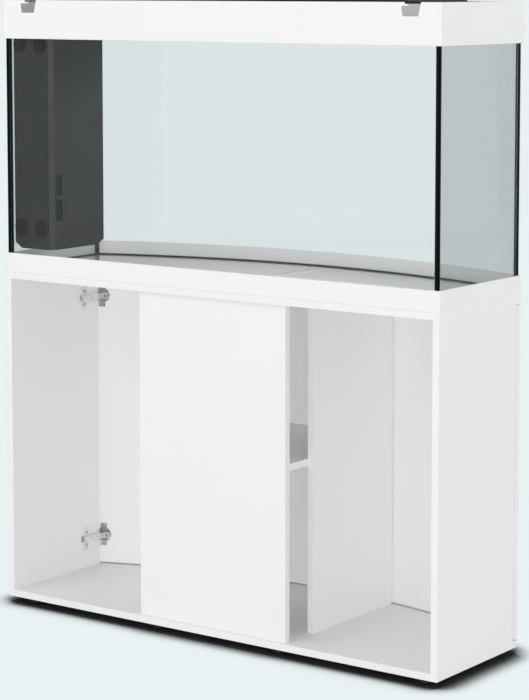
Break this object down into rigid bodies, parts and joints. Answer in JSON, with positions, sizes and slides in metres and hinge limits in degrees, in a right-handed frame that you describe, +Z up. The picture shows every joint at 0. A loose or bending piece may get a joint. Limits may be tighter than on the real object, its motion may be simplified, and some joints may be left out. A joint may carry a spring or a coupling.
{
  "type": "aquarium on stand",
  "caption": "Bow-front glass aquarium with a hood and an internal filter, on a white cabinet with bent doors and an open rear.",
  "frame": {"origin": "on the floor, in the middle of the bounding box", "axes": "+Z up, +Y to the flat open rear, -Y to the bowed front with the doors, +X to the side with the internal filter"},
  "size_m": [1.21, 0.46, 1.4457],
  "materials": {
    "white_board": "smooth white melamine on chipboard, white edge banding",
    "white_plastic": "satin white moulded plastic",
    "clear_glass": "clear float glass with polished edges",
    "heater_glass": "clear glass",
    "tube_glass": "white fluorescent coating inside glass",
    "black_silicone": "black cured silicone",
    "black_plastic": "fine-grained black plastic",
    "grey_plastic": "light grey plastic",
    "nickel_steel": "nickel-plated pressed steel",
    "steel": "zinc-plated steel",
    "black_rubber": "black rubber",
    "clear_rubber": "translucent soft plastic",
    "blue_sponge": "open-cell foam"
  },
  "bodies": {
    "cabinet": {"bottom_board": "white_board", "top_board": "white_board", "left_side_panel": "white_board", "right_side_panel": "white_board", "left_partition": "white_board", "right_partition": "white_board", "rear_centre_panel": "white_board", "centre_shelf": "white_board", "shelf_pins": "steel", "feet": "black_plastic", "foot_screws": "steel", "carcass_screws": "steel", "hinge_plates": "nickel_steel", "hinge_arms": "nickel_steel", "hinge_arm_pins": "steel", "hinge_plate_screws": "steel", "left_catch_housing": "grey_plastic", "right_catch_housing": "grey_plastic", "door_bumpers": "clear_rubber", "tank_bottom_frame": "white_plastic", "bottom_pane": "clear_glass", "rear_pane": "clear_glass", "left_pane": "clear_glass", "right_pane": "clear_glass", "front_pane": "clear_glass", "corner_seams": "black_silicone", "floor_seam": "black_silicone", "hood_frame": "white_plastic", "hood_deck": "black_plastic", "lid_hinge_pins": "steel", "light_bar": "black_plastic", "light_tubes": "tube_glass", "tube_sockets": "black_plastic", "filter_housing": "black_plastic", "filter_base": "black_plastic", "filter_pads": "black_rubber", "filter_divider": "black_plastic", "filter_sponges": "blue_sponge", "filter_basket": "black_plastic", "filter_pump": "black_plastic", "heater_rod": "heater_glass", "heater_cap": "black_plastic", "heater_clips": "black_plastic"},
    "left_door_leaf": {"left_door": "white_board", "left_hinge_cups": "nickel_steel", "left_cup_screws": "steel", "left_cup_pins": "steel"},
    "right_door_leaf": {"right_door": "white_board", "right_hinge_cups": "nickel_steel", "right_cup_screws": "steel", "right_cup_pins": "steel"},
    "left_linkage": {"left_hinge_links": "nickel_steel"},
    "right_linkage": {"right_hinge_links": "nickel_steel"},
    "left_lid": {"left_flap": "black_plastic"},
    "right_lid": {"right_flap": "black_plastic"},
    "feeding_lid": {"feeding_hatch": "black_plastic"},
    "outlet": {"outlet_nozzle": "black_plastic"},
    "left_catch": {"left_catch_plunger": "grey_plastic"},
    "right_catch": {"right_catch_plunger": "grey_plastic"}
  },
  "joints": [
    {"name": "left_link_swing", "type": "hinge", "parent": "cabinet", "child": "left_linkage", "pos_m": [-0.57, -0.09596, 0.4075], "axis": [0, 0, -1], "range_deg": [-23, 0]},
    {"name": "left_door_swing", "type": "hinge", "parent": "left_linkage", "child": "left_door_leaf", "pos_m": [-0.595, -0.09848, 0.4075], "axis": [0, 0, -1], "range_deg": [0, 117]},
    {"name": "right_link_swing", "type": "hinge", "parent": "cabinet", "child": "right_linkage", "pos_m": [0.57, -0.09596, 0.4075], "axis": [0, 0, 1], "range_deg": [-23, 0]},
    {"name": "right_door_swing", "type": "hinge", "parent": "right_linkage", "child": "right_door_leaf", "pos_m": [0.595, -0.09848, 0.4075], "axis": [0, 0, 1], "range_deg": [0, 117]},
    {"name": "left_lid_lift", "type": "hinge", "parent": "cabinet", "child": "left_lid", "pos_m": [-0.245, 0.1872, 1.4435], "axis": [-1, 0, 0], "range_deg": [0, 100]},
    {"name": "right_lid_lift", "type": "hinge", "parent": "cabinet", "child": "right_lid", "pos_m": [0.245, 0.1872, 1.4435], "axis": [-1, 0, 0], "range_deg": [0, 100]},
    {"name": "feeding_lid_lift", "type": "hinge", "parent": "cabinet", "child": "feeding_lid", "pos_m": [0, -0.1417, 1.4435], "axis": [-1, 0, 0], "range_deg": [0, 100]},
    {"name": "outlet_turn", "type": "hinge", "parent": "cabinet", "child": "outlet", "pos_m": [0.528, 0.019, 1.3415], "axis": [0, -1, 0], "range_deg": [-60, 60]},
    {"name": "left_catch_push", "type": "slide", "parent": "cabinet", "child": "left_catch", "axis": [0, 1, 0], "range_m": [0, 0.003], "stiffness_N_per_m": 500, "springref_m": -0.002},
    {"name": "right_catch_push", "type": "slide", "parent": "cabinet", "child": "right_catch", "axis": [0, 1, 0], "range_m": [0, 0.003], "stiffness_N_per_m": 500, "springref_m": -0.002}
  ],
  "couplings": [
    {"joint": "left_link_swing", "follows": "left_door_swing", "ratio": -0.188},
    {"joint": "right_link_swing", "follows": "right_door_swing", "ratio": -0.188}
  ]
}
